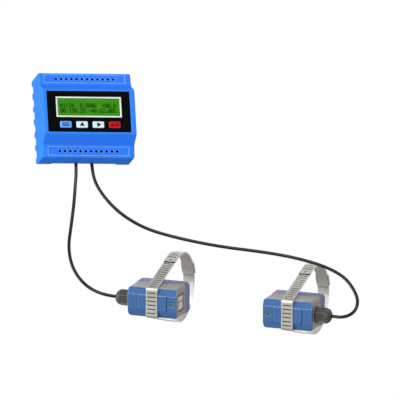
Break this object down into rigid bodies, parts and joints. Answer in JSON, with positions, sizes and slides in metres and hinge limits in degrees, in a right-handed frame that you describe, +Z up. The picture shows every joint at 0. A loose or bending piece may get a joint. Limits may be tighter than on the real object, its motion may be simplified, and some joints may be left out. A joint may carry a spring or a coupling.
{
  "type": "clamp-on ultrasonic flow meter",
  "caption": "Rail-mounted display module in a stepped blue housing, wired to boxed ultrasonic transducers that slotted metal straps hold on a pipe.",
  "frame": {"origin": "centre of the seat at the back of the module where the mounting rail lies", "axes": "+X along the rail towards the viewer's right, +Y from the module's face back to the rail, +Z up"},
  "size_m": [0.3022, 0.2, 0.3122],
  "materials": {
    "housing": "satin royal blue",
    "base": "satin dark blue",
    "clip": "satin black",
    "terminal": "satin green",
    "screw_steel": "zinc plated",
    "panel": "satin black",
    "key_blue": "light blue",
    "key_white": "white",
    "key_red": "red",
    "component_black": "black",
    "board": "green solder mask",
    "bezel": "bright",
    "screen": "green liquid-crystal cell",
    "backlight": "pale green diffuser",
    "capacitor": "plain can",
    "ribbon": "grey",
    "foot": "satin blue-purple",
    "wedge": "amber cast plastic",
    "crystal": "silvered ceramic",
    "case": "satin warm grey",
    "end_plate": "cream with a dark frame",
    "transducer_cover": "satin blue",
    "gland": "satin dark grey",
    "seal": "black",
    "strap": "stainless",
    "cable": "black sheath"
  },
  "bodies": {
    "meter": {"housing_cover": "housing", "housing_base": "base", "top_terminal_strip": "housing", "top_terminal_block": "terminal", "top_terminal_screws": "screw_steel", "bottom_terminal_strip": "housing", "bottom_terminal_block": "terminal", "bottom_terminal_screws": "screw_steel", "front_panel": "panel", "key_switches": "component_black", "display_board": "board", "display_screws": "screw_steel", "lcd_bezel": "bezel", "lcd_glass": "screen", "lcd_backlight": "backlight", "main_board": "board", "board_screws": "screw_steel", "power_module": "component_black", "output_relay": "component_black", "processor_chip": "component_black", "capacitors": "capacitor", "ribbon_link": "ribbon", "left_foot": "foot", "left_wedge": "wedge", "left_crystal": "crystal", "left_case": "case", "left_end_plate": "end_plate", "left_cover": "transducer_cover", "left_cover_screw": "screw_steel", "left_gland_body": "gland", "left_gland_seal": "seal", "left_gland_nut": "gland", "left_strap": "strap", "left_worm_housing": "strap", "left_cable": "cable", "right_foot": "foot", "right_wedge": "wedge", "right_crystal": "crystal", "right_case": "case", "right_end_plate": "end_plate", "right_cover": "transducer_cover", "right_cover_screw": "screw_steel", "right_gland_body": "gland", "right_gland_seal": "seal", "right_gland_nut": "gland", "right_strap": "strap", "right_worm_housing": "strap", "right_cable": "cable"},
    "key_menu": {"key_menu": "key_blue"},
    "key_up": {"key_up": "key_white"},
    "key_right": {"key_right": "key_white"},
    "key_enter": {"key_enter": "key_red"},
    "rail_clip": {"rail_clip": "clip"},
    "left_worm": {"left_worm_screw": "screw_steel"},
    "right_worm": {"right_worm_screw": "screw_steel"}
  },
  "joints": [
    {"name": "key_menu_press", "type": "slide", "parent": "meter", "child": "key_menu", "axis": [0, 1, 0], "range_m": [0, 0.0005], "stiffness_N_per_m": 400},
    {"name": "key_up_press", "type": "slide", "parent": "meter", "child": "key_up", "axis": [0, 1, 0], "range_m": [0, 0.0005], "stiffness_N_per_m": 400},
    {"name": "key_right_press", "type": "slide", "parent": "meter", "child": "key_right", "axis": [0, 1, 0], "range_m": [0, 0.0005], "stiffness_N_per_m": 400},
    {"name": "key_enter_press", "type": "slide", "parent": "meter", "child": "key_enter", "axis": [0, 1, 0], "range_m": [0, 0.0005], "stiffness_N_per_m": 400},
    {"name": "rail_clip_slide", "type": "slide", "parent": "meter", "child": "rail_clip", "axis": [0, 0, -1], "range_m": [0, 0.005], "stiffness_N_per_m": 600},
    {"name": "left_worm_turn", "type": "hinge", "parent": "meter", "child": "left_worm", "pos_m": [0.11582, 0.00974, -0.15152], "axis": [-0.2491, -0.6967, 0.6727], "continuous": true},
    {"name": "right_worm_turn", "type": "hinge", "parent": "meter", "child": "right_worm", "pos_m": [0.24275, -0.06804, -0.18507], "axis": [-0.2491, -0.6967, 0.6727], "continuous": true}
  ]
}
